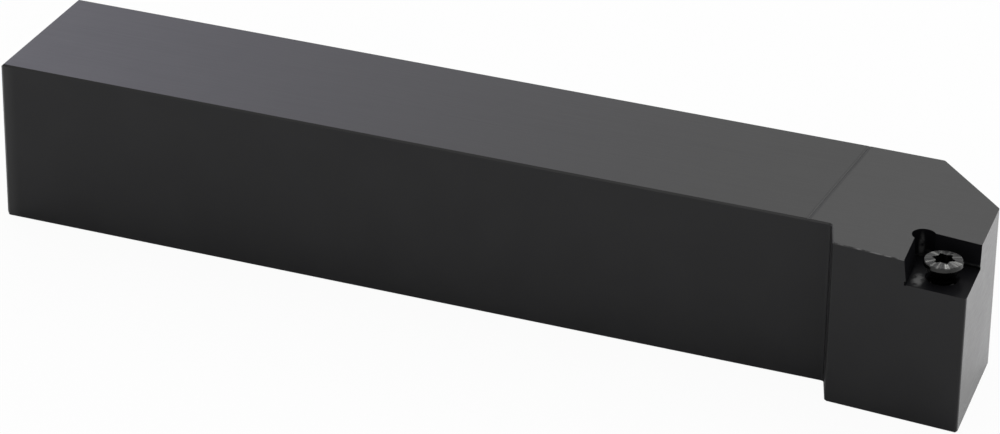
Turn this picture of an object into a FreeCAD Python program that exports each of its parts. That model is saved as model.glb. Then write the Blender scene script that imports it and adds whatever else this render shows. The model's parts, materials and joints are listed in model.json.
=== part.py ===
import FreeCAD, Part
import math
import os

# Left-hand external turning tool holder, in millimetres.
# The origin is the middle of the shank's underside. +X runs to the cutting end, +Z is up, and the
# head stands out to -Y.

# Holder: the sizes that a user orders it by
tool_length = 150.0          # butt end to the nose corner of the insert
shank_height = 25.0
shank_width = 25.0
functional_width = 32.0      # far side of the shank to the nose corner of the insert
cutting_height = 25.0        # underside of the shank to the insert's top face

# Insert that the seat is cut for: a rhombus with slanting flanks
insert_circle = 9.525        # inscribed circle of its top face
insert_thickness = 3.97
insert_corner_deg = 80.0     # angle at the nose and at the seat's inner corner
insert_flank_deg = 7.0       # lean of the flanks, and of the seat's walls
approach_deg = 95.0          # angle of the cutting edge to the length of the tool

# Head
nose_setback = 0.48          # head's nose edge behind the insert's nose corner, along X and along Y
head_lean_deg = 4.0          # front and side face, off square with the shank
shoulder_reach = 21.8        # nose corner back to where the shoulder leaves the shank
shoulder_run = 1.8           # length of tool over which the shoulder steps out
shoulder_root_radius = 0.8
far_corner_reach = 12.95     # nose corner back to where the far corner's cut begins
far_corner_deg = 45.0
head_top_reach = 24.65       # nose corner back to the line where the head's top begins to fall
head_top_fall_deg = 0.7
head_line_slant_deg = 2.7    # that line, off square with the shank
head_line_width = 0.4        # shallow groove that the cutter left along it
head_line_depth = 0.06

# Seat
relief_radius = 1.7          # round relief in the inner corner
relief_extra_depth = 0.25    # relief below the seat's floor
foot_groove_depth = 0.3      # groove along the foot of both walls, which keeps the insert's lower edges clear
foot_groove_height = 0.5     # up the wall
foot_groove_drop = 0.1       # below the seat's floor

# Edges
butt_bevel = 0.5
outline_bevel = 0.25         # all round the top and the underside, before the head's top is milled
upright_edge_radius = 0.4    # nose, shoulder and both ends of the cut across the far corner

# Clamp screw
thread_diameter = 4.0
thread_pitch = 0.7           # gives the number of turns that the screw can make
screw_length = 10.5          # top of the head to the tip
screw_head_diameter = 5.5
screw_rim = 0.8              # straight rim above the countersunk cone
screw_cone_deg = 60.0        # included angle
screw_rim_bevel = 0.12
screw_crown = 0.15           # fall of the head's top from the socket out to the rim
screw_neck_length = 1.3      # plain neck between the cone and the thread
screw_neck_diameter = 3.2
screw_tip_bevel = 0.45
screw_stand = 2.9            # top of the head above the seat's floor, as it is left in the empty seat

# Six-lobe socket in the screw's head
lobe_count = 6
socket_outer = 3.27          # across the tips of the lobes
socket_inner = 2.37          # across the waists
socket_lobe_radius = 0.27
socket_depth = 1.3
socket_bottom_deg = 120.0    # included angle of the cone at its bottom

# Tapped hole
hole_clearance = 0.05        # radial, between the screw's thread and the hole
hole_mouth_bevel = 0.35
tip_clearance = 1.2          # thread left below the tip when the cone is down on the mouth
tap_drill_diameter = 3.3
tap_drill_extra = 2.2        # drill past the end of the thread
drill_point_deg = 118.0

overcut = 5.0                # how far a cutter runs past the faces that it opens
same_place = 0.01            # points of the blank that lie closer than this count as one place


def sin(degrees):
    return math.sin(math.radians(degrees))


def cos(degrees):
    return math.cos(math.radians(degrees))


def tan(degrees):
    return math.tan(math.radians(degrees))


def vec(x, y, z=0.0):
    return FreeCAD.Vector(x, y, z)


# Places that follow from the sizes above
shank_length = tool_length - head_top_reach
butt_x = -shank_length / 2
nose = vec(butt_x + tool_length, shank_width / 2 - functional_width)
seat_floor = cutting_height - insert_thickness

# Directions of the insert's edges in plan, from the seat's inner corner, and of its diagonal
edge_slant_deg = approach_deg - 90.0
along_far_wall = vec(cos(edge_slant_deg), -sin(edge_slant_deg))
along_near_wall = vec(cos(edge_slant_deg + insert_corner_deg), -sin(edge_slant_deg + insert_corner_deg))
diagonal = (along_far_wall + along_near_wall).normalize()
insert_centre = nose - diagonal * (insert_circle / 2 / sin(insert_corner_deg / 2))
inner_corner = insert_centre - (nose - insert_centre)

# The screw: its cone, how far it can still go down, and the hole that takes it
cone_height = (screw_head_diameter - thread_diameter) / 2 / tan(screw_cone_deg / 2)
hole_radius = thread_diameter / 2 + hole_clearance
mouth_radius = hole_radius + hole_mouth_bevel
cone_on_mouth = (mouth_radius - thread_diameter / 2) / tan(screw_cone_deg / 2)
screw_top = seat_floor + screw_stand
travel_in = screw_stand - screw_rim - cone_height + cone_on_mouth
thread_in_hole = screw_length - screw_stand - screw_tip_bevel - hole_mouth_bevel
tapped_depth = screw_length - screw_stand + travel_in + tip_clearance


def prism(points, low, high):
    """Straight solid on a plan outline between two heights."""
    wire = Part.makePolygon([vec(p.x, p.y, low) for p in points + points[:1]])
    return Part.Face(wire).extrude(vec(0, 0, high - low))


def flat_sided(lower, upper):
    """Solid with a flat face on each side, between two flat outlines of as many points."""
    sides = [
        [lower[i], lower[i - 1], upper[i - 1], upper[i]]
        for i in range(len(lower))
    ]
    faces = [Part.Face(Part.makePolygon(side + side[:1])) for side in [lower, upper] + sides]
    return Part.makeSolid(Part.makeShell(faces))


def edges_where(shape, test):
    """Edges whose two ends both pass a test."""
    return [e for e in shape.Edges if len(e.Vertexes) == 2 and all(test(v.Point) for v in e.Vertexes)]


def upright_edges(shape, places):
    """The full-height edges that stand at some points of the plan."""
    def stands_at(place):
        return lambda p: math.hypot(p.x - place.x, p.y - place.y) < same_place
    return [edge for place in places for edge in edges_where(shape, stands_at(place))]


def plan_corners():
    """Corners of the holder in plan, by name."""
    near, far = -shank_width / 2, shank_width / 2
    head_nose = nose + vec(-nose_setback, nose_setback)
    shoulder_x = nose.x - shoulder_reach
    shoulder_out_x = shoulder_x + shoulder_run
    cut_x = nose.x - far_corner_reach
    # The front face leans back until it meets the cut across the far corner
    fall = tan(far_corner_deg)
    lean = tan(head_lean_deg)
    front_y = (far - fall * (head_nose.x - cut_x + lean * head_nose.y)) / (1 - fall * lean)
    return {
        "butt_near": vec(butt_x, near),
        "shoulder_in": vec(shoulder_x, near),
        "shoulder_out": vec(shoulder_out_x, head_nose.y + lean * (head_nose.x - shoulder_out_x)),
        "nose": head_nose,
        "front_far": vec(head_nose.x - lean * (front_y - head_nose.y), front_y),
        "cut_far": vec(cut_x, far),
        "butt_far": vec(butt_x, far),
    }


def blank():
    """The bar before its head is milled, with its edges broken."""
    corners = plan_corners()
    bar = prism(list(corners.values()), 0, shank_height)
    bar = bar.makeFillet(shoulder_root_radius, upright_edges(bar, [corners["shoulder_in"]]))
    rounded = [corners[name] for name in ("shoulder_out", "nose", "front_far", "cut_far")]
    bar = bar.makeFillet(upright_edge_radius, upright_edges(bar, rounded))
    for height in (0, shank_height):
        level = edges_where(bar, lambda p: abs(p.z - height) < same_place)
        bar = bar.makeChamfer(outline_bevel, [e for e in level if not is_at_butt(e)])
    return bar.common(butt_envelope())


def is_at_butt(edge):
    return all(abs(v.Point.x - butt_x) < same_place for v in edge.Vertexes)


def butt_envelope():
    """Wedge that widens from the bevelled butt face past the whole tool."""
    def section(x, margin):
        half = shank_width / 2 + margin
        return [
            vec(x, -half, -margin),
            vec(x, half, -margin),
            vec(x, half, shank_height + margin),
            vec(x, -half, shank_height + margin),
        ]
    reach = tool_length + overcut
    return flat_sided(section(butt_x, -butt_bevel), section(butt_x + reach, reach - butt_bevel))


def head_top_cutter():
    """What is milled off the head's top: a thin wedge from the line across to the nose."""
    line_x = nose.x - head_top_reach
    across = vec(sin(head_line_slant_deg), cos(head_line_slant_deg))
    ahead = vec(across.y, -across.x)
    reach = head_top_reach + shank_width + overcut
    half = functional_width + overcut
    start = vec(line_x, 0, shank_height)
    drop = vec(0, 0, -reach * tan(head_top_fall_deg))
    lower = [
        start - across * half,
        start - across * half + ahead * reach + drop,
        start + across * half + ahead * reach + drop,
        start + across * half,
    ]
    wedge = flat_sided(lower, [vec(p.x, p.y, shank_height + overcut) for p in lower])
    # Shallow round groove along the line
    radius = (head_line_width ** 2 / 4 + head_line_depth ** 2) / (2 * head_line_depth)
    groove_start = start - across * half + vec(0, 0, radius - head_line_depth)
    return wedge.fuse(Part.makeCylinder(radius, 2 * half, groove_start, across))


def seat_outline(height, groove=0.0):
    """The seat's walls in plan at a height: they lean in with depth, as the insert's flanks do."""
    inset = (cutting_height - height) * tan(insert_flank_deg) - groove
    corner = inner_corner + diagonal * (inset / sin(insert_corner_deg / 2))
    reach = insert_circle / sin(insert_corner_deg) + overcut
    outline = [
        corner,
        corner + along_far_wall * reach,
        corner + along_far_wall * reach + along_near_wall * reach,
        corner + along_near_wall * reach,
    ]
    return [vec(p.x, p.y, height) for p in outline]


def foot_groove_cutter():
    """Groove that runs into both walls at their foot and a little below the floor beside them."""
    bottom = seat_floor - foot_groove_drop
    groove = prism(seat_outline(seat_floor, foot_groove_depth), bottom, seat_floor + foot_groove_height)
    floor_kept = prism(seat_outline(seat_floor), bottom - overcut, seat_floor)
    return groove.cut(floor_kept)


def seat_cutter():
    """Space of the insert, open to the front and the side, with the relief in its inner corner."""
    seat = flat_sided(seat_outline(seat_floor), seat_outline(cutting_height + overcut))
    relief_centre = inner_corner + diagonal * relief_radius
    relief_floor = seat_floor - relief_extra_depth
    relief = Part.makeCylinder(
        relief_radius,
        cutting_height + overcut - relief_floor,
        vec(relief_centre.x, relief_centre.y, relief_floor),
    )
    return seat.fuse(foot_groove_cutter()).fuse(relief)


def revolve_about_screw(profile):
    """Turned solid about the screw's axis from points given as radius and height."""
    points = [vec(insert_centre.x + r, insert_centre.y, z) for r, z in profile]
    face = Part.Face(Part.makePolygon(points + points[:1]))
    axis_foot = vec(insert_centre.x, insert_centre.y)
    return face.revolve(axis_foot, vec(0, 0, 1), 360)


def hole_cutter():
    """Blind tapped hole: bevelled mouth, thread, tap drill and its point."""
    drill_radius = tap_drill_diameter / 2
    thread_end = seat_floor - tapped_depth
    drill_end = thread_end - tap_drill_extra
    return revolve_about_screw([
        (0, seat_floor + overcut),
        (mouth_radius, seat_floor + overcut),
        (mouth_radius, seat_floor),
        (hole_radius, seat_floor - hole_mouth_bevel),
        (hole_radius, thread_end),
        (drill_radius, thread_end - (hole_radius - drill_radius)),
        (drill_radius, drill_end),
        (0, drill_end - drill_radius / tan(drill_point_deg / 2)),
    ])


def holder_body():
    """The blank with its head's top, the insert's seat and the screw's hole cut."""
    return blank().cut(head_top_cutter()).cut(seat_cutter()).cut(hole_cutter())


def socket_outline():
    """Lobes joined by waists, all arcs that run into each other without a corner."""
    lobe_place = socket_outer / 2 - socket_lobe_radius
    half_waist = socket_inner / 2
    step = 360 / lobe_count
    # Waist radius at which the two kinds of arc touch
    toward_waist = lobe_place * cos(step / 2)
    waist_radius = (
        (socket_lobe_radius ** 2 - lobe_place ** 2 - half_waist ** 2 + 2 * half_waist * toward_waist)
        / (2 * half_waist - 2 * toward_waist - 2 * socket_lobe_radius)
    )
    waist_place = half_waist + waist_radius
    lobe_angles = [step * i for i in range(lobe_count)]
    lobes = [vec(cos(a), sin(a)) * lobe_place for a in lobe_angles]
    waists = [vec(cos(a + step / 2), sin(a + step / 2)) * waist_place for a in lobe_angles]
    after = [lobe + (waist - lobe).normalize() * socket_lobe_radius for lobe, waist in zip(lobes, waists)]
    before = [
        lobe + (waist - lobe).normalize() * socket_lobe_radius
        for lobe, waist in zip(lobes, waists[-1:] + waists[:-1])
    ]
    edges = []
    for i in range(lobe_count):
        tip = lobes[i] * ((socket_outer / 2) / lobe_place)
        waist = waists[i] * (half_waist / waist_place)
        edges.append(Part.Arc(before[i], tip, after[i]).toShape())
        edges.append(Part.Arc(after[i], waist, before[(i + 1) % lobe_count]).toShape())
    return Part.Wire(edges)


def socket_cutter():
    """Lobed socket with a shallow cone at its bottom."""
    outline = socket_outline()
    outline.translate(vec(insert_centre.x, insert_centre.y, screw_top - socket_depth))
    straight = Part.Face(outline).extrude(vec(0, 0, socket_depth + overcut))
    cone_radius = socket_inner / 2
    cone_foot = screw_top - socket_depth
    cone = revolve_about_screw([
        (0, cone_foot + socket_depth / 2),
        (cone_radius, cone_foot + socket_depth / 2),
        (cone_radius, cone_foot),
        (0, cone_foot - cone_radius / tan(socket_bottom_deg / 2)),
    ])
    return straight.fuse(cone)


def clamp_screw():
    """Countersunk insert screw: bevelled rim, cone, neck, thread and bevelled tip."""
    head_radius = screw_head_diameter / 2
    neck_radius = screw_neck_diameter / 2
    thread_radius = thread_diameter / 2
    cone_top = screw_top - screw_rim
    cone_foot = cone_top - (head_radius - neck_radius) / tan(screw_cone_deg / 2)
    thread_top = cone_top - cone_height - screw_neck_length
    tip = screw_top - screw_length
    rim_top = screw_top - screw_crown
    turned = revolve_about_screw([
        (0, screw_top),
        (socket_inner / 2, screw_top),
        (head_radius - screw_rim_bevel, rim_top),
        (head_radius, rim_top - screw_rim_bevel),
        (head_radius, cone_top),
        (neck_radius, cone_foot),
        (neck_radius, thread_top),
        (thread_radius, thread_top - (thread_radius - neck_radius)),
        (thread_radius, tip + screw_tip_bevel),
        (thread_radius - screw_tip_bevel, tip),
        (0, tip),
    ])
    return turned.cut(socket_cutter())


def main():
    os.makedirs("parts", exist_ok=True)
    for node, shape in (("holder_body", holder_body()), ("clamp_screw", clamp_screw())):
        print(node, "valid", shape.isValid(), "solids", len(shape.Solids), "volume", round(shape.Volume, 1))
        shape.exportStep(f"parts/{node}.step")
    print("screw turns in", round(travel_in / thread_pitch, 3))
    print("screw turns out", round(thread_in_hole / thread_pitch, 3))


main()
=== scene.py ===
"""Looks of a left-hand turning tool holder: finishes, threaded clamp screw, studio and camera."""

import json
import logging
import math
from dataclasses import dataclass, field
from enum import Enum
from typing import Any, Callable, Union

import bmesh
import bpy
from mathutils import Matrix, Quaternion, Vector


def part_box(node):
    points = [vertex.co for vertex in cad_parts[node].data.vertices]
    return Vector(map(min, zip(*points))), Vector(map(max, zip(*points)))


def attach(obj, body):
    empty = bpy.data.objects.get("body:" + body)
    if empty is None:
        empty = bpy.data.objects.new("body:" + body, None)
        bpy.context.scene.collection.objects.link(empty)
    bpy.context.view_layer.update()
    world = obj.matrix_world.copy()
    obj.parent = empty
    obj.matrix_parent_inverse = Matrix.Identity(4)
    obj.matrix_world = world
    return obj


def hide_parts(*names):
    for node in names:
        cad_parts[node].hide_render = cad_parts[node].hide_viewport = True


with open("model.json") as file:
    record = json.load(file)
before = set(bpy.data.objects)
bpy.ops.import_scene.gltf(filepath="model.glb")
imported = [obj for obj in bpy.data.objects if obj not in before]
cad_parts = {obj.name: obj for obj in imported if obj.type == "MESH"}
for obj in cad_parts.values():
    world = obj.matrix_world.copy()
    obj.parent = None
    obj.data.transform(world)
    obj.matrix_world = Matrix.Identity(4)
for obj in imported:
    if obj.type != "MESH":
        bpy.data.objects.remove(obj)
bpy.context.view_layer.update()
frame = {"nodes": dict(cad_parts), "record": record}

Colour = tuple[float, float, float]
Triple = tuple[float, float, float]
Span = tuple[float, float]
Number = Union[float, "Term"]

MM: float = 0.001
FULL_TURN: float = 360.0
# Shares of a normal between which a face comes to count as facing along an axis
FACING_SPAN: Span = (0.6, 0.8)
# Shares of a normal along both of two axes between which a face comes to count as their bevel
BEVEL_SPAN: Span = (0.60, 0.65)
NOISE_MIDDLE: float = 0.5
WHITE: Colour = (1.0, 1.0, 1.0)
# Strength at which an emission or a background of that colour shows as plain white
WHITE_STRENGTH: float = 1.0
log = logging.getLogger("tool_holder")


class Maths(Enum):
    """Operations of a Math node that the finishes use."""

    ADD = "ADD"
    SUBTRACT = "SUBTRACT"
    MULTIPLY = "MULTIPLY"
    DIVIDE = "DIVIDE"
    MAXIMUM = "MAXIMUM"
    MINIMUM = "MINIMUM"
    ABSOLUTE = "ABSOLUTE"
    SINE = "SINE"


class Ray(Enum):
    """Kinds of light ray to which the backdrop shows itself as plain white."""

    CAMERA = "Is Camera Ray"
    GLOSSY = "Is Glossy Ray"
    TRANSMISSION = "Is Transmission Ray"


class Cut(Enum):
    """Ways in which one closed body changes another."""

    ADD = "UNION"
    TAKE = "DIFFERENCE"
    KEEP = "INTERSECT"


@dataclass(frozen=True)
class Term:
    """One output socket of a node, usable as a number in an expression."""

    graph: "Graph"
    socket: bpy.types.NodeSocket

    def __add__(self, other: Number) -> "Term":
        """Sum."""
        return self.graph.maths(Maths.ADD, self, other)

    def __radd__(self, other: Number) -> "Term":
        """Sum, reflected."""
        return self.graph.maths(Maths.ADD, other, self)

    def __sub__(self, other: Number) -> "Term":
        """Difference."""
        return self.graph.maths(Maths.SUBTRACT, self, other)

    def __rsub__(self, other: Number) -> "Term":
        """Difference, reflected."""
        return self.graph.maths(Maths.SUBTRACT, other, self)

    def __mul__(self, other: Number) -> "Term":
        """Product."""
        return self.graph.maths(Maths.MULTIPLY, self, other)

    def __rmul__(self, other: Number) -> "Term":
        """Product, reflected."""
        return self.graph.maths(Maths.MULTIPLY, other, self)

    def __truediv__(self, other: Number) -> "Term":
        """Quotient."""
        return self.graph.maths(Maths.DIVIDE, self, other)

    def __abs__(self) -> "Term":
        """Size without sign."""
        return self.graph.maths(Maths.ABSOLUTE, self)

    def at_least(self, other: Number) -> "Term":
        """The larger of the two."""
        return self.graph.maths(Maths.MAXIMUM, self, other)

    def at_most(self, other: Number) -> "Term":
        """The smaller of the two."""
        return self.graph.maths(Maths.MINIMUM, self, other)


class Graph:
    """The node tree of a material or world, and the one way in which nodes are added to it."""

    # Numbers of a Mix node's sockets for colours, because several of its sockets share a name
    MIX_FACTOR: int = 0
    MIX_FIRST: int = 6
    MIX_SECOND: int = 7
    MIX_RESULT: int = 2

    def __init__(self, owner: Union[bpy.types.Material, bpy.types.World]) -> None:
        """Empty the owner's tree.

        Args:
            owner: The material or world whose nodes are written.
        """
        owner.use_nodes = True
        self.tree = owner.node_tree
        self.tree.nodes.clear()

    def node(self, kind: str, settings: dict[str, Any], inputs: dict[Any, Any]) -> bpy.types.Node:
        """Add a node.

        Args:
            kind: Blender's name for the node type, without "ShaderNode".
            settings: Properties of the node, set before its sockets.
            inputs: Value or Term for each input socket, by its name or number.

        Returns:
            The new node.
        """
        made = self.tree.nodes.new("ShaderNode" + kind)
        for name, value in settings.items():
            setattr(made, name, value)
        for name, value in inputs.items():
            if isinstance(value, Term):
                self.tree.links.new(value.socket, made.inputs[name])
            else:
                made.inputs[name].default_value = value
        return made

    def term(self, made: bpy.types.Node, output: Any = 0) -> Term:
        """An output of a node as a Term."""
        return Term(self, made.outputs[output])

    def maths(self, operation: Maths, *values: Number) -> Term:
        """Result of a Math node on one or more numbers."""
        made = self.node("Math", {"operation": operation.value}, dict(enumerate(values)))
        return self.term(made)

    def stretch(self, vector: Term, scale: Triple, shift: Triple = (0.0, 0.0, 0.0)) -> Term:
        """Move a vector, and then scale it.

        Args:
            vector: The vector.
            scale: One factor for each axis.
            shift: What is added before that.

        Returns:
            The new vector.
        """
        moved = self.node("VectorMath", {"operation": "ADD"}, {0: vector, 1: shift})
        scaled = self.node("VectorMath", {"operation": "MULTIPLY"}, {0: self.term(moved), 1: scale})
        return self.term(scaled)

    def noise(self, vector: Term, detail: float = 2.0) -> Term:
        """Soft noise from 0 to 1, one cell for each unit of the vector."""
        made = self.node("TexNoise", {}, {"Vector": vector, "Scale": 1.0, "Detail": detail})
        return self.term(made, "Fac")

    def cells(self, place: Term, size: float, detail: float = 2.0) -> Term:
        """Soft noise from 0 to 1, its cells of one size along all axes."""
        return self.noise(self.stretch(place, (1 / size,) * 3), detail)

    def blend(self, factor: Number, first: Any, second: Any) -> Term:
        """Mix two colours.

        Args:
            factor: 0 for the first alone, 1 for the second alone.
            first: A colour or a Term.
            second: A colour or a Term.

        Returns:
            The mixed colour.
        """
        colours = {self.MIX_FIRST: self.solid(first), self.MIX_SECOND: self.solid(second)}
        made = self.node("Mix", {"data_type": "RGBA"}, {self.MIX_FACTOR: factor, **colours})
        return self.term(made, self.MIX_RESULT)

    def cross(self, factor: Number, first: bpy.types.Node, second: bpy.types.Node) -> Term:
        """A surface or a light between two others."""
        inputs = dict(enumerate((factor, self.term(first), self.term(second))))
        return self.term(self.node("MixShader", {}, inputs))

    @staticmethod
    def solid(colour: Any) -> Any:
        """A colour with its alpha, or the Term as it is."""
        return colour if isinstance(colour, Term) else (*colour, 1.0)

    def ramp(self, value: Number, start: float, end: float) -> Term:
        """A smooth step of a number: 0 at start, 1 at end."""
        inputs = {"Value": value, "From Min": start, "From Max": end}
        return self.term(self.node("MapRange", {"interpolation_type": "SMOOTHSTEP"}, inputs))

    def toward(self, component: Number, sign: int = 1) -> Term:
        """1 on faces whose normal has this component near its largest, 0 on the others."""
        return self.ramp(component, *(sign * share for share in FACING_SPAN))

    def between(self, component: Term, other: Term) -> Term:
        """1 on faces halfway between two directions, such as the bevels of broken edges."""
        return self.ramp(component.at_most(other), *BEVEL_SPAN)

    def shown_to(self, *rays: Ray) -> Term:
        """Tell some kinds of ray from the others.

        Args:
            rays: The kinds that count.

        Returns:
            1 for those kinds, 0 for all others.
        """
        path = self.node("LightPath", {}, {})
        total = self.term(path, rays[0].value)
        for ray in rays[1:]:
            total = total.at_least(self.term(path, ray.value))
        return total


@dataclass(frozen=True)
class SeatHighlight:
    """Soft painted highlight in the seat: its middle and reach from near wall, far wall and floor.
    """

    middle: Triple
    reach: Triple

    def spot(self, graph: Graph, place: list[Term]) -> Term:
        """Shape of the spot.

        Args:
            graph: Where the nodes go.
            place: Distances of the point from near wall, far wall and floor.

        Returns:
            1 in the middle, falling to 0 at the reach.
        """
        parts = [
            (at - at_middle) / at_reach
            for at, at_middle, at_reach in zip(place, self.middle, self.reach)
        ]
        squares = [part * part for part in parts]
        return graph.ramp(squares[0] + squares[1] + squares[2], 1.0, 0.0)


@dataclass(frozen=True)
class SeatPlace:
    """Where the seat lies: inner corner in plan, directions of its walls, and its floor.

    The walls and the relief lie from margin outside the walls' lines to wall_band inside them.
    Farther than clear from a wall, or above the floor, a face is the holder's own outside.
    """

    corner: Vector
    far_wall: Vector
    near_wall: Vector
    floor: float
    margin: float = 0.75 * MM
    wall_band: float = 1.0 * MM
    clear: float = 3.0 * MM
    edge: float = 0.05 * MM
    # Painted highlights: a band along the lip at the far wall's foot, and soft spots on the floor
    # and up the relief's wall
    lip: float = 0.5 * MM
    lip_width: float = 0.35 * MM
    rubs: tuple[SeatHighlight, ...] = (
        SeatHighlight((1.7 * MM, 7.0 * MM, 0.0), (1.1 * MM, 2.3 * MM, 0.4 * MM)),
        SeatHighlight((0.55 * MM, -0.4 * MM, 1.2 * MM), (0.6 * MM, 0.7 * MM, 2.6 * MM)),
    )

    def inside(self, x: Term, y: Term) -> tuple[Term, Term]:
        """Place in plan, as the seat's walls see it.

        Args:
            x: X of the point.
            y: Y of the point.

        Returns:
            Distances from the lines of the near and the far wall, positive inside the seat.
        """
        from_near = (x - self.corner.x) * -self.near_wall.y + (y - self.corner.y) * self.near_wall.x
        from_far = (x - self.corner.x) * self.far_wall.y + (y - self.corner.y) * -self.far_wall.x
        return from_near, from_far

    def mask(self, graph: Graph, place: list[Term], facing: list[Term]) -> Term:
        """1 on the seat's walls, relief and floor, 0 on the rest of the holder.

        Args:
            graph: Where the nodes go.
            place: X, Y and Z of the point.
            facing: X, Y and Z of the surface's normal.

        Returns:
            The mask.
        """
        x, y, z = place
        from_near, from_far = self.inside(x, y)
        nearest = from_near.at_most(from_far)
        upward = graph.toward(facing[2])
        past_margin = graph.ramp(nearest, -self.margin - self.edge, -self.margin)
        beside_wall = past_margin * graph.ramp(nearest, self.wall_band + self.edge, self.wall_band)
        # The holder's own side and front run on beyond the ends of the walls
        beyond_far = graph.ramp(from_far, self.clear, self.clear + self.edge)
        beyond_near = graph.ramp(from_near, self.clear, self.clear + self.edge)
        side, front = graph.toward(facing[1], -1), graph.toward(facing[0])
        outer = (side * beyond_far).at_least(front * beyond_near)
        above = graph.ramp(z, self.floor - self.edge, self.floor)
        below = graph.ramp(z, self.floor + self.clear, self.floor + self.clear - self.edge)
        walls = (1 - upward) * beside_wall * above * (1 - outer)
        return walls + upward * below

    def rubbed(self, graph: Graph, place: list[Term]) -> Term:
        """1 where highlights are painted on the seat: soft spots and the lip at the far wall's
        foot.

        Args:
            graph: Where the nodes go.
            place: X, Y and Z of the point.

        Returns:
            The mask, of use inside the seat only.
        """
        x, y, z = place
        height = z - self.floor
        from_near, from_far = self.inside(x, y)
        past_relief = graph.ramp(from_near, 0.0, self.clear)
        bright = past_relief * graph.ramp(abs(height - self.lip), self.lip_width, 0.0)
        for highlight in self.rubs:
            bright = bright.at_least(highlight.spot(graph, [from_near, from_far, height]))
        return bright


@dataclass(frozen=True)
class HeadTop:
    """The head's milled top: the line where it begins, and its fall from there to the front."""

    line: float
    slant: float
    fall: float
    height: float

    def past(self, x: Term, y: Term) -> Term:
        """Distance in front of the line."""
        return x - y * self.slant - self.line

    def depth(self, x: Term, y: Term, z: Term) -> Term:
        """Distance below the milled top."""
        return self.height - z - self.past(x, y) * self.fall


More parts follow.
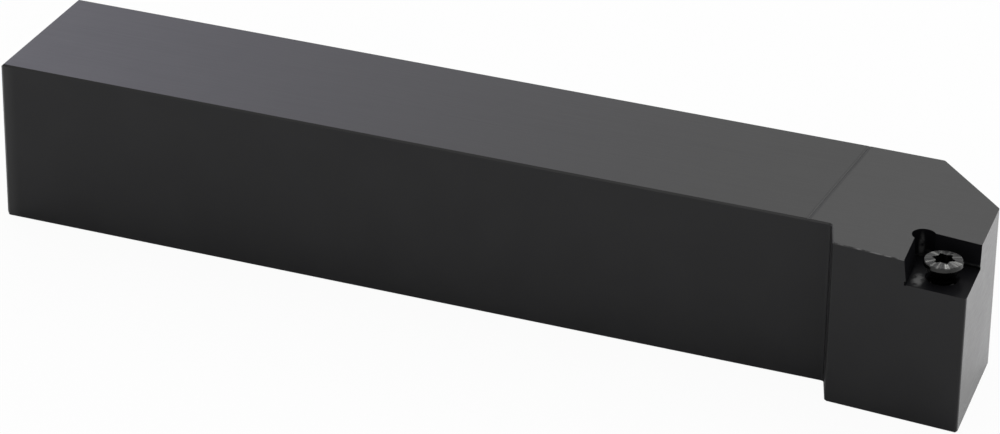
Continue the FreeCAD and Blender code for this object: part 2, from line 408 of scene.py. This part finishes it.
@dataclass(frozen=True)
class BlackenedSteel:
    """Black oxide on ground and milled steel: dark, satin, cloudy in places."""

    colour: Colour = (0.017, 0.017, 0.018)
    cloud_colour: Colour = (0.019, 0.019, 0.020)
    # Painted sheen on the shank's top: lighter and bluish at the butt, painted shade at the head's
    # line
    top_colour: Colour = (0.024, 0.022, 0.035)
    top_end_colour: Colour = (0.003, 0.003, 0.003)
    head_colour: Colour = (0.010, 0.010, 0.010)
    # Painted shade in the seat: near black
    seat_colour: Colour = (0.006, 0.006, 0.007)
    # Painted highlight in the seat
    rubbed_colour: Colour = (0.08, 0.08, 0.08)
    # Nicks in the head's top edge, partly wear and partly painted glints
    nick_colour: Colour = (0.3, 0.3, 0.3)
    # Painted sheen on the near side towards the butt end
    end_colour: Colour = (0.046, 0.046, 0.046)
    # Painted shade on the bevels of the near side's edges
    bevel_colour: Colour = (0.002, 0.002, 0.002)
    # Share of matt near black in the seat: painted shade that hides its reflections
    seat_matt: float = 0.8
    # Painted shade along the groove at the head's line: its share, and below how far it reaches
    line_matt: float = 0.25
    head_edge: float = 0.1 * MM
    line_reaches: Span = (0.5 * MM, 0.2 * MM)
    arris_depths: Span = (0.15 * MM, 0.08 * MM)
    nick_start: float = 4.6 * MM
    nick_size: float = 1.2 * MM
    nick_span: Span = (0.35, 0.65)
    end_reach: float = 2.6 * MM
    front_oil: float = 0.8
    low_oil: float = 0.2
    low_start: float = 16 * MM
    oil_roughness: float = 0.2
    roughness: float = 0.36
    grain_roughness: float = 0.18
    cloud_roughness: float = 0.12
    specular: float = 0.27
    cloud_size: float = 9 * MM
    cloud_detail: float = 4.0
    cloud_span: Span = (0.35, 0.7)
    # Noise that breaks up the painted highlights in the seat
    wear_size: float = 0.9 * MM
    wear_detail: float = 3.0
    wear_span: Span = (0.25, 0.6)
    grain_length: float = 14 * MM
    grain_width: float = 0.16 * MM
    bump: float = 0.12
    bump_depth: float = 0.02 * MM

    def material(self, butt: float, head_top: HeadTop, seat: SeatPlace) -> bpy.types.Material:
        """Write the material.

        Args:
            butt: X of the butt end.
            head_top: Where the head's milled top lies.
            seat: Where the seat lies, which gets painted shade and painted highlights.

        Returns:
            The material, in Object coordinates of the whole holder.
        """
        made = bpy.data.materials.new("blackened_steel")
        graph = Graph(made)
        coordinates = graph.node("TexCoord", {}, {})
        place = graph.term(coordinates, "Object")
        place_xyz = graph.node("SeparateXYZ", {}, {0: place})
        facing_xyz = graph.node("SeparateXYZ", {}, {0: graph.term(coordinates, "Normal")})
        x, y, z = (graph.term(place_xyz, i) for i in range(3))
        facing = [graph.term(facing_xyz, i) for i in range(3)]

        # Ground lines run along the shank on its long faces, and across it on its ends
        fine, long = 1 / self.grain_width, 1 / self.grain_length
        along = graph.noise(graph.stretch(place, (long, fine, fine)))
        across = graph.noise(graph.stretch(place, (fine, long, fine)))
        on_end = graph.toward(abs(facing[0]))
        grain = along * (1 - on_end) + across * on_end
        cloud = graph.cells(place, self.cloud_size, self.cloud_detail)

        # Where the cutter has been: the head's top, with painted shade along the groove at its
        # line, and the seat inside its walls, with painted shade and painted highlights
        past = head_top.past(x, y)
        head = graph.ramp(past, 0.0, self.head_edge)
        # Painted shade along the groove at the head's line
        line = graph.ramp(abs(past), *self.line_reaches)
        in_seat = seat.mask(graph, [x, y, z], facing)
        # Painted highlights in the seat, broken up by noise
        highlight_breakup = graph.cells(place, self.wear_size, self.wear_detail)
        rubbed = in_seat * seat.rubbed(graph, [x, y, z]) * graph.ramp(highlight_breakup, *self.wear_span)

        # Near side: nicks in the head's top edge, partly wear and partly painted glints, and
        # painted sheen towards the butt end
        on_side = graph.toward(facing[1], -1)
        on_top = graph.toward(facing[2])
        nick_glint_noise = graph.cells(place, self.nick_size)
        at_arris = graph.ramp(head_top.depth(x, y, z), *self.arris_depths)
        past_shoulder = graph.ramp(past, self.nick_start - self.head_edge, self.nick_start)
        nick_glints = graph.ramp(nick_glint_noise, *self.nick_span) * at_arris * past_shoulder
        at_end = graph.ramp(x, butt + self.end_reach, butt)
        backward, nearward = 0 - facing[0], 0 - facing[1]
        # Painted shade on the bevels of the near side's edges
        shaded_bevel = graph.between(nearward, facing[2]).at_least(graph.between(nearward, backward))

        # Painted sheen on the top faces, fading from the butt to painted shade at the head's line
        top_sheen_falloff = graph.ramp(x, butt, head_top.line)
        top_colour = graph.blend(top_sheen_falloff, self.top_colour, self.top_end_colour)
        top_colour = graph.blend(head, top_colour, self.head_colour)
        colour = graph.blend(graph.ramp(cloud, *self.cloud_span), self.colour, self.cloud_colour)
        colour = graph.blend(on_top, colour, top_colour)
        # Painted sheen on the near side towards the butt end
        colour = graph.blend(on_side * at_end, colour, self.end_colour)
        colour = graph.blend(shaded_bevel, colour, self.bevel_colour)
        colour = graph.blend(on_side * nick_glints, colour, self.nick_colour)
        # Painted shade over the seat's walls and floor
        colour = graph.blend(in_seat, colour, self.seat_colour)
        colour = graph.blend(rubbed, colour, self.rubbed_colour)
        roughness = (
            self.roughness
            + (grain - NOISE_MIDDLE) * self.grain_roughness
            + (cloud - NOISE_MIDDLE) * self.cloud_roughness
        )
        oil = self.front_oil + graph.ramp(z, self.low_start, 0.0) * self.low_oil
        bump = graph.node(
            "Bump", {}, {"Strength": self.bump, "Distance": self.bump_depth, "Height": grain}
        )
        satin = graph.node(
            "BsdfPrincipled",
            {},
            {
                "Base Color": colour,
                "Roughness": roughness,
                "Coat Weight": graph.toward(facing[0]) * (1 - in_seat) * oil,
                "Coat Roughness": self.oil_roughness,
                "Specular IOR Level": self.specular,
                "Normal": graph.term(bump),
            },
        )
        # Matt near black: painted shade in the seat and along the groove at the head's line
        matt = graph.node("BsdfDiffuse", {}, {"Color": graph.solid(self.seat_colour)})
        seat_shade = in_seat * (1 - rubbed) * self.seat_matt
        painted_shade_share = seat_shade.at_least(on_top * line * self.line_matt)
        graph.node("OutputMaterial", {}, {"Surface": graph.cross(painted_shade_share, satin, matt)})
        return made


@dataclass(frozen=True)
class ScrewSteel:
    """Bare turned steel, burnished, with rings from the lathe, painted shade in the socket and on
    the head's sides, and a dark shank that is partly blackened and partly painted shade.
    """

    colour: Colour = (0.26, 0.26, 0.25)
    streak_colour: Colour = (0.015, 0.015, 0.015)
    # Painted shade on the head's faces that do not face up
    rim_colour: Colour = (0.05, 0.05, 0.049)
    # Dark stains, painted shade in the socket, and the shank's dark, partly blackened and partly
    # painted shade
    dark_colour: Colour = (0.03, 0.03, 0.03)
    streaks: float = 3.0
    streak_detail: float = 4.0
    streak_span: Span = (0.45, 0.8)
    stain_size: float = 0.5 * MM
    stain_detail: float = 3.0
    stain_span: Span = (0.55, 0.8)
    stain_share: float = 0.35
    stain_roughness: float = 0.2
    socket_depths: Span = (0.05 * MM, 0.3 * MM)
    edge: float = 0.05 * MM
    metallic: float = 1.0
    roughness: float = 0.24
    ring_pitch: float = 0.12 * MM
    bump: float = 0.15
    bump_depth: float = 0.01 * MM

    def material(
        self, axis: Vector, socket_radius: float, top: float, rim_foot: float
    ) -> bpy.types.Material:
        """Write the material.

        Args:
            axis: A point on the screw's axis.
            socket_radius: Radius within which the socket's inside gets painted shade.
            top: Height of the top of the head.
            rim_foot: Height of the foot of the head's rim, under which the screw is dark: partly a
                blackened finish, partly painted shade.

        Returns:
            The material, in Object coordinates of the screw.
        """
        made = bpy.data.materials.new("bright_screw_steel")
        graph = Graph(made)
        coordinates = graph.node("TexCoord", {}, {})
        place = graph.term(coordinates, "Object")
        facing = graph.node("SeparateXYZ", {}, {0: graph.term(coordinates, "Normal")})
        upward = graph.toward(graph.term(facing, "Z"))
        centred = graph.stretch(place, (1.0, 1.0, 0.0), (-axis.x, -axis.y, 0.0))
        length = graph.node("VectorMath", {"operation": "LENGTH"}, {0: centred})
        radius = graph.term(length, "Value")
        height = graph.term(graph.node("SeparateXYZ", {}, {0: place}), "Z")
        rings = graph.maths(Maths.SINE, radius * (2 * math.pi / self.ring_pitch))
        outward = graph.node("VectorMath", {"operation": "NORMALIZE"}, {0: centred})
        spread = graph.stretch(graph.term(outward), (self.streaks,) * 3)
        streak = graph.noise(spread, self.streak_detail)
        stain = graph.cells(place, self.stain_size, self.stain_detail)
        stained = graph.ramp(stain, *self.stain_span) * self.stain_share
        # Painted shade inside the socket, and below the rim a dark shank, partly blackened and
        # partly painted shade
        sunk = graph.ramp(height, *(top - depth for depth in self.socket_depths))
        inside = sunk * graph.ramp(radius, socket_radius + self.edge, socket_radius)
        shaft = graph.ramp(height, rim_foot, rim_foot - self.edge)
        streaked = graph.ramp(streak, *self.streak_span)
        colour = graph.blend(streaked, self.streak_colour, self.colour)
        # Painted shade on the head's faces that do not face up
        colour = graph.blend(upward, self.rim_colour, colour)
        colour = graph.blend(inside.at_least(shaft), colour, self.dark_colour)
        colour = graph.blend(stained, colour, self.dark_colour)
        roughness = self.roughness + (stain - NOISE_MIDDLE) * self.stain_roughness
        bump = graph.node(
            "Bump", {}, {"Strength": self.bump, "Distance": self.bump_depth, "Height": rings}
        )
        surface = graph.node(
            "BsdfPrincipled",
            {},
            {
                "Base Color": colour,
                "Roughness": roughness,
                "Metallic": self.metallic,
                "Normal": graph.term(bump),
            },
        )
        graph.node("OutputMaterial", {}, {"Surface": graph.term(surface)})
        return made


@dataclass(frozen=True)
class PaleFloor:
    """Matt white board that takes the tool's shadow; the camera sees it as nearly plain white."""

    colour: Colour = (0.86, 0.86, 0.86)
    white_share: float = 0.95

    def material(self) -> bpy.types.Material:
        """Write the material.

        Returns:
            A matt white that the camera sees mostly as plain white.
        """
        made = bpy.data.materials.new("pale_floor")
        graph = Graph(made)
        matt = graph.node("BsdfDiffuse", {}, {"Color": graph.solid(self.colour)})
        shown = {"Color": graph.solid(WHITE), "Strength": WHITE_STRENGTH}
        plain = graph.node("Emission", {}, shown)
        share = graph.shown_to(Ray.CAMERA) * self.white_share
        graph.node("OutputMaterial", {}, {"Surface": graph.cross(share, matt, plain)})
        return made


class Bench:
    """Modelling operators on exactly the pieces and faces that are meant."""

    SLIVER: float = 0.001 * MM
    PASSING_EDGES: int = 2
    PIN_SIDES: int = 48

    @staticmethod
    def hold(*pieces: bpy.types.Object) -> None:
        """Select these pieces and nothing else.

        Args:
            pieces: The pieces, of which the first becomes the active one.
        """
        if bpy.context.object and bpy.context.object.mode != "OBJECT":
            bpy.ops.object.mode_set(mode="OBJECT")
        bpy.ops.object.select_all(action="DESELECT")
        for piece in pieces:
            piece.select_set(True)
        if pieces:
            bpy.context.view_layer.objects.active = pieces[0]

    @staticmethod
    def edit(piece: bpy.types.Object, mode: str = "FACE") -> None:
        """Open a piece for editing with nothing selected.

        Args:
            piece: The piece.
            mode: "VERT", "EDGE" or "FACE".
        """
        Bench.hold(piece)
        bpy.ops.object.mode_set(mode="EDIT")
        bpy.ops.mesh.select_mode(type=mode)
        bpy.ops.mesh.select_all(action="DESELECT")

    @staticmethod
    def close() -> None:
        """Leave edit mode."""
        bpy.ops.object.mode_set(mode="OBJECT")

    @staticmethod
    def pick(kind: str, test: Callable[[Any], bool]) -> None:
        """Select the open piece's parts that pass a test.

        Args:
            kind: "verts", "edges" or "faces".
            test: Says of one part whether it is meant.
        """
        mesh = bpy.context.object.data
        shape = bmesh.from_edit_mesh(mesh)
        for part in getattr(shape, kind):
            if test(part):
                part.select_set(True)
        shape.select_flush_mode()
        bmesh.update_edit_mesh(mesh)

    @staticmethod
    def turn(name: str, axis: Vector, rings: list[Span], sides: int) -> bpy.types.Object:
        """A closed turned body, drawn out of a filled circle ring by ring.

        Args:
            name: Name of the body.
            axis: A point on its upright axis.
            rings: Radius and height of each ring, from one end to the other.
            sides: Number of flat sides all round.

        Returns:
            The body, its normals outwards.
        """
        radius, height = rings[0]
        Bench.hold()
        bpy.ops.mesh.primitive_circle_add(
            vertices=sides, radius=radius, fill_type="NGON", location=(axis.x, axis.y, height)
        )
        body = bpy.context.object
        body.name = name
        Bench.edit(body)
        bpy.ops.mesh.select_all(action="SELECT")
        for next_radius, next_height in rings[1:]:
            bpy.ops.mesh.extrude_region_move(
                TRANSFORM_OT_translate={"value": (0, 0, next_height - height)}
            )
            scale = next_radius / radius
            bpy.ops.transform.resize(
                value=(scale, scale, 1), center_override=(axis.x, axis.y, next_height)
            )
            radius, height = next_radius, next_height
        Bench.face_outwards()
        return body

    @staticmethod
    def face_outwards() -> None:
        """Clear the open piece of slivers and needless points, and turn its faces outwards."""
        bpy.ops.mesh.select_all(action="SELECT")
        bpy.ops.mesh.remove_doubles(threshold=Bench.SLIVER)
        bpy.ops.mesh.dissolve_degenerate(threshold=Bench.SLIVER)
        bpy.ops.mesh.delete_loose()
        # A point with no more than two edges only splits an edge, and makes doubled triangles
        bpy.ops.mesh.select_mode(type="VERT")
        bpy.ops.mesh.select_all(action="DESELECT")
        Bench.pick("verts", lambda point: len(point.link_edges) == Bench.PASSING_EDGES)
        bpy.ops.mesh.dissolve_verts()
        bpy.ops.mesh.select_all(action="SELECT")
        bpy.ops.mesh.normals_make_consistent(inside=False)
        Bench.close()

    @staticmethod
    def settle(piece: bpy.types.Object) -> None:
        """Move a piece's place, turn and size into its mesh."""
        Bench.hold(piece)
        bpy.ops.object.transform_apply(location=True, rotation=True, scale=True)

    @staticmethod
    def combine(body: bpy.types.Object, tool: bpy.types.Object, cut: Cut) -> None:
        """Change a body by a tool's volume, and remove the tool.

        Args:
            body: The closed body that is changed.
            tool: The closed body that changes it.
            cut: Whether the tool's volume is added, taken or kept.
        """
        Bench.hold(body)
        change = body.modifiers.new("cut", "BOOLEAN")
        change.operation = cut.value
        change.solver = "EXACT"
        change.object = tool
        bpy.ops.object.modifier_apply(modifier=change.name)
        bpy.data.objects.remove(tool)
        Bench.line_up(body)

    @staticmethod
    def line_up(body: bpy.types.Object) -> None:
        """Number a body's parts by their place, because a cut numbers them anew in each run.

        Args:
            body: The body, which keeps its shape.
        """
        shape = bmesh.new()
        shape.from_mesh(body.data)
        for parts, place in (
            (shape.verts, lambda point: point.co.to_tuple()),
            (shape.edges, lambda edge: sorted(point.index for point in edge.verts)),
            (shape.faces, lambda face: sorted(point.index for point in face.verts)),
        ):
            ranks = {part: rank for rank, part in enumerate(sorted(parts, key=place))}
            parts.sort(key=ranks.get)
            parts.index_update()
        shape.to_mesh(body.data)
        shape.free()

    @staticmethod
    def ring_of_pins(
        name: str, centre: Vector, reach: float, radius: float, depth: float, angles: list[float]
    ) -> bpy.types.Object:
        """Upright round pins on a circle, as one object.

        Args:
            name: Name of the object.
            centre: Middle of the circle, at half the pins' height.
            reach: Radius of the circle.
            radius: Radius of each pin.
            depth: Length of the pins.
            angles: Direction of each pin from the centre, in degrees.

        Returns:
            The pins.
        """
        pins = []
        for angle in angles:
            turned = math.radians(angle)
            Bench.hold()
            bpy.ops.mesh.primitive_cylinder_add(
                vertices=Bench.PIN_SIDES,
                radius=radius,
                depth=depth,
                location=centre + Vector((math.cos(turned), math.sin(turned), 0)) * reach,
            )
            pins.append(bpy.context.object)
        Bench.hold(*pins)
        bpy.ops.object.join()
        pins[0].name = name
        return pins[0]


@dataclass
class HolderBody:
    """The milled bar: its solid stays, and takes the blackened finish."""

    node: str = "holder_body"
    screw: str = "clamp_screw"
    seat_mount: str = "insert_seat"
    finish: BlackenedSteel = field(default_factory=BlackenedSteel)
    # The line where the head's milled top begins, from the nose on the shank's middle plane
    head_reach: float = 24.139 * MM
    head_slant_degrees: float = 2.7
    head_fall_degrees: float = 0.7
    insert_circle: float = 9.525 * MM
    insert_corner_degrees: float = 80.0
    wall_slant_degrees: float = 5.0

    def seat(self) -> SeatPlace:
        """Find the seat, from the screw that stands in its middle.

        Returns:
            The seat's place.
        """
        low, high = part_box(self.screw)
        middle = (low + high) / 2
        slant, spread = self.wall_slant_degrees, self.insert_corner_degrees
        far_wall, diagonal, near_wall = (
            Vector((math.cos(math.radians(turn)), -math.sin(math.radians(turn)), 0))
            for turn in (slant, slant + spread / 2, slant + spread)
        )
        half_diagonal = self.insert_circle / 2 / math.sin(math.radians(spread / 2))
        mounts = {mount["name"]: mount for mount in frame["record"]["mounts"]}
        floor = mounts[self.seat_mount]["pos_m"][2]
        return SeatPlace(middle - diagonal * half_diagonal, far_wall, near_wall, floor)

    def dress(self) -> bpy.types.Object:
        """Give the bar its material.

        Returns:
            The bar.
        """
        bar = frame["nodes"][self.node]
        low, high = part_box(self.node)
        head_top = HeadTop(
            high.x - self.head_reach,
            math.tan(math.radians(self.head_slant_degrees)),
            math.tan(math.radians(self.head_fall_degrees)),
            high.z,
        )
        material = self.finish.material(low.x, head_top, self.seat())
        bar.data.materials.clear()
        bar.data.materials.append(material)
        log.info("%s dressed, %d faces", bar.name, len(bar.data.polygons))
        return bar


@dataclass
class ClampScrew:
    """Countersunk insert screw: lobed socket, bevelled rim, cone, neck and a real thread."""

    node: str = "clamp_screw"
    body: str = "screw"
    slot: str = "bright_screw_steel"
    finish: ScrewSteel = field(default_factory=ScrewSteel)
    sides: int = 96
    rim: float = 0.8 * MM
    rim_bevel: float = 0.12 * MM
    crown: float = 0.15 * MM
    cone_degrees: float = 60.0
    neck_radius: float = 1.6 * MM
    neck_length: float = 1.3 * MM
    thread_radius: float = 2.0 * MM
    thread_pitch: float = 0.7 * MM
    # Depth of a metric thread, and widths of its ridge at root and crest, as shares of the pitch
    thread_depth_share: float = 0.6134
    thread_base_share: float = 7 / 8
    thread_crest_share: float = 1 / 8
    ridge_corners: int = 4
    ridge_root: float = 0.05 * MM
    spare_turns: int = 2
    tip_bevel: float = 0.45 * MM
    lobes: int = 6
    lobe_reach: float = 1.635 * MM
    waist_reach: float = 1.185 * MM
    lobe_radius: float = 0.27 * MM
    socket_depth: float = 1.3 * MM
    socket_floor_degrees: float = 120.0
    point_share: float = 0.02
    overlap: float = 0.3 * MM
    # What keeps two bodies of a cut from only touching, and two bevels out of one plane
    tuck: float = 0.02 * MM
    lift: float = 0.001 * MM
    smooth_degrees: float = 25.0

    def __post_init__(self) -> None:
        """Take the screw's axis, ends and head from the frame."""
        low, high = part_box(self.node)
        self.axis = (low + high) / 2
        self.top = high.z
        self.tip = low.z
        self.head_radius = (high.x - low.x) / 2
        self.cone_slope = math.tan(math.radians(self.cone_degrees / 2))
        self.cone_top = self.top - self.rim
        self.thread_top = (
            self.cone_top
            - (self.head_radius - self.thread_radius) / self.cone_slope
            - self.neck_length
        )
        self.root_radius = self.thread_radius - self.thread_depth_share * self.thread_pitch
        self.tip_radius = self.thread_radius - self.tip_bevel

    def blank(self) -> bpy.types.Object:
        """Turn the screw, before its thread is cut and its socket pressed.

        Returns:
            The turned blank.
        """
        cone_foot = self.cone_top - (self.head_radius - self.neck_radius) / self.cone_slope
        run_out = self.neck_radius - self.root_radius
        return Bench.turn(
            "clamp_screw_threaded",
            self.axis,
            [
                (self.waist_reach - self.tuck, self.top),
                (self.head_radius - self.rim_bevel, self.top - self.crown),
                (self.head_radius, self.top - self.crown - self.rim_bevel),
                (self.head_radius, self.cone_top),
                (self.neck_radius, cone_foot),
                (self.neck_radius, self.thread_top),
                (self.root_radius, self.thread_top - run_out),
                (self.root_radius, self.tip + self.root_radius - self.tip_radius + self.lift),
                (self.tip_radius, self.tip),
            ],
            self.sides,
        )

    def thread(self) -> bpy.types.Object:
        """Sweep the thread's ridge up its helix.

        Returns:
            The ridge, trimmed to the bevels at both of its ends.
        """
        base = self.thread_pitch * self.thread_base_share
        crest = self.thread_pitch * self.thread_crest_share
        inner = self.root_radius - self.ridge_root
        middle = (self.thread_radius + inner) / 2
        turns = math.ceil((self.thread_top - self.tip) / self.thread_pitch) + self.spare_turns
        Bench.hold()
        bpy.ops.mesh.primitive_plane_add(
            size=1.0,
            location=(self.axis.x, self.axis.y, self.tip - self.thread_pitch),
            rotation=(math.pi / 2, 0, 0),
        )
        ridge = bpy.context.object
        bpy.ops.object.transform_apply(location=False, rotation=True, scale=False)
        Bench.edit(ridge, "VERT")
        bpy.ops.mesh.delete(type="ONLY_FACE")
        bpy.ops.mesh.select_all(action="SELECT")
        centre = ridge.location
        bpy.ops.transform.resize(
            value=(self.thread_radius - inner, 1, base), center_override=centre
        )
        bpy.ops.transform.translate(value=(middle, 0, 0))
        bpy.ops.mesh.select_all(action="DESELECT")
        Bench.pick("verts", lambda point: point.co.x > middle)
        bpy.ops.transform.resize(value=(1, 1, crest / base), center_override=centre)
        Bench.close()
        sweep = ridge.modifiers.new("helix", "SCREW")
        sweep.axis = "Z"
        sweep.screw_offset = self.thread_pitch
        sweep.iterations = turns
        sweep.steps = sweep.render_steps = self.sides
        sweep.use_merge_vertices = False
        bpy.ops.object.modifier_apply(modifier=sweep.name)
        Bench.edit(ridge)
        bpy.ops.mesh.select_mode(type="EDGE")
        bpy.ops.mesh.select_non_manifold()
        bpy.ops.mesh.fill_holes(sides=self.ridge_corners)
        Bench.face_outwards()
        Bench.combine(ridge, self.envelope(), Cut.KEEP)
        return ridge

    def envelope(self) -> bpy.types.Object:
        """Turn the space that the finished thread may fill.

        Returns:
            A body that is bevelled at the tip and under the neck.
        """
        crest = self.thread_radius
        return Bench.turn(
            "thread_envelope",
            self.axis,
            [
                (self.root_radius - self.tuck, self.thread_top),
                (crest, self.thread_top - (crest - self.root_radius)),
                (crest, self.tip + self.tip_bevel),
                (self.tip_radius, self.tip),
            ],
            self.sides,
        )

    def socket(self) -> bpy.types.Object:
        """Shape the socket's punch: a prism, hollowed at its waists and rounded out at its lobes.

        Returns:
            The punch, which reaches out of the head.
        """
        step = FULL_TURN / self.lobes
        angles = [step * i for i in range(self.lobes)]
        lobe_place = self.lobe_reach - self.lobe_radius
        toward_waist = lobe_place * math.cos(math.radians(step / 2))
        waist_radius = (
            self.lobe_radius ** 2 - lobe_place ** 2 - self.waist_reach ** 2
            + 2 * self.waist_reach * toward_waist
        ) / (2 * self.waist_reach - 2 * toward_waist - 2 * self.lobe_radius)
        # The prism's sides pass just within the points where the two kinds of arc touch
        touch = toward_waist + self.lobe_radius * (
            (self.waist_reach + waist_radius - toward_waist) / (self.lobe_radius + waist_radius)
        )
        depth = self.socket_depth + self.overlap
        centre = Vector((self.axis.x, self.axis.y, self.top + self.overlap - depth / 2))
        Bench.hold()
        bpy.ops.mesh.primitive_cylinder_add(
            vertices=self.lobes,
            radius=(touch - self.tuck) / math.cos(math.radians(step / 2)),
            depth=depth,
            location=centre,
            rotation=(0, 0, math.radians(step / 2)),
        )
        punch = bpy.context.object
        waists = Bench.ring_of_pins(
            "waists",
            centre,
            self.waist_reach + waist_radius,
            waist_radius,
            depth + self.overlap,
            [angle + step / 2 for angle in angles],
        )
        Bench.combine(punch, waists, Cut.TAKE)
        lobes = Bench.ring_of_pins("lobes", centre, lobe_place, self.lobe_radius, depth, angles)
        Bench.combine(punch, lobes, Cut.ADD)
        floor = self.top - self.socket_depth
        point = self.waist_reach / math.tan(math.radians(self.socket_floor_degrees / 2))
        cone = Bench.turn(
            "socket_point",
            self.axis,
            [
                (self.waist_reach - self.tuck, floor + self.overlap),
                (self.waist_reach - self.tuck, floor),
                (self.point_share * self.waist_reach, floor - (1 - self.point_share) * point),
            ],
            self.sides,
        )
        Bench.combine(punch, cone, Cut.ADD)
        return punch

    def build(self) -> bpy.types.Object:
        """Make the screw, dress it and set it in its body.

        Returns:
            The screw, which stands for the plain one of the frame.
        """
        screw = self.blank()
        Bench.combine(screw, self.thread(), Cut.ADD)
        Bench.combine(screw, self.socket(), Cut.TAKE)
        Bench.settle(screw)
        Bench.edit(screw)
        Bench.face_outwards()
        Bench.hold(screw)
        bpy.ops.object.shade_smooth_by_angle(angle=math.radians(self.smooth_degrees))
        screw.data.materials.clear()
        screw.data.materials.append(
            self.finish.material(self.axis, self.lobe_reach, self.top, self.cone_top)
        )
        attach(screw, self.body)
        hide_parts(self.node)
        log.info("%s built, %d faces", screw.name, len(screw.data.polygons))
        return screw


@dataclass(frozen=True)
class Softbox:
    """One soft lamp of the studio."""

    name: str
    place: Triple
    aim: Triple
    width: float
    height: float
    power: float
    colour: Colour = WHITE

    def build(self) -> bpy.types.Object:
        """Hang the lamp.

        Returns:
            The lamp, which the camera does not see.
        """
        lamp = bpy.data.lights.new(self.name, "AREA")
        lamp.shape = "RECTANGLE"
        lamp.size = self.width
        lamp.size_y = self.height
        lamp.energy = self.power
        lamp.color = self.colour
        hung = bpy.data.objects.new(self.name, lamp)
        hung.location = self.place
        hung.rotation_mode = "QUATERNION"
        hung.rotation_quaternion = (Vector(self.aim) - hung.location).to_track_quat("-Z", "Y")
        hung.visible_camera = False
        bpy.context.scene.collection.objects.link(hung)
        return hung


@dataclass
class Studio:
    """Pale floor, soft light and the camera."""

    floor_size: float = 6.0
    floor_finish: PaleFloor = field(default_factory=PaleFloor)
    sky_light: float = 0.45
    eye: Triple = (0.21174, -0.51050, 0.29626)
    aim: Triple = (0.014296, -0.00657, 0.012622)
    roll_degrees: float = 0.811
    lens: float = 153.194
    clip_start: float = 0.01
    softboxes: tuple[Softbox, ...] = (
        Softbox("overhead", (-0.05, 0.45, 0.95), (0.0, 0.0, 0.0), 1.2, 1.0, 4.4),
        Softbox(
            "back_left", (-0.9, 0.9, 0.55), (-0.06, 0.0, 0.02), 0.6, 0.5, 1.45, (0.86, 0.86, 1.0)
        ),
        Softbox("back_right", (0.4, 0.7, 0.5), (0.12, 0.05, 0.0), 0.4, 0.4, 2.0),
        Softbox("glint", (-0.11, 0.73, 0.67), (0.08, -0.014, 0.025), 0.1, 0.1, 0.16),
        Softbox("front_left", (-0.17, -0.38, 0.69), (0.08, -0.014, 0.025), 0.2, 0.2, 0.3),
    )

    def build_floor(self) -> None:
        """Lay the floor under the tool."""
        Bench.hold()
        bpy.ops.mesh.primitive_plane_add(size=self.floor_size, location=(0, 0, 0))
        floor = bpy.context.object
        floor.name = "floor"
        floor.data.materials.append(self.floor_finish.material())

    def build_sky(self) -> None:
        """Light the world evenly, and show it as plain white."""
        world = bpy.data.worlds.new("studio")
        bpy.context.scene.world = world
        graph = Graph(world)
        light, shown = (
            graph.node("Background", {}, {"Color": graph.solid(WHITE), "Strength": strength})
            for strength in (self.sky_light, WHITE_STRENGTH)
        )
        both = graph.cross(graph.shown_to(*Ray), light, shown)
        graph.node("OutputWorld", {}, {"Surface": both})

    def build_camera(self) -> None:
        """Set the camera where the photograph was taken from."""
        data = bpy.data.cameras.new("camera")
        data.lens = self.lens
        data.clip_start = self.clip_start
        camera = bpy.data.objects.new("camera", data)
        bpy.context.scene.collection.objects.link(camera)
        camera.location = self.eye
        camera.rotation_mode = "QUATERNION"
        level = (Vector(self.aim) - camera.location).to_track_quat("-Z", "Y")
        roll = Quaternion((0, 0, 1), math.radians(self.roll_degrees))
        camera.rotation_quaternion = level @ roll
        bpy.context.scene.camera = camera

    def build(self) -> None:
        """Set up floor, sky, lamps and camera."""
        bpy.context.scene.view_settings.view_transform = "Standard"
        self.build_floor()
        self.build_sky()
        for softbox in self.softboxes:
            softbox.build()
        self.build_camera()
        log.info("studio set, %d lamps", len(self.softboxes))


def main() -> None:
    """Build the studio, dress the holder and build its screw."""
    logging.basicConfig(level=logging.INFO, format="%(name)s: %(message)s")
    Studio().build()
    HolderBody().dress()
    ClampScrew().build()


if __name__ == "__main__":
    main()
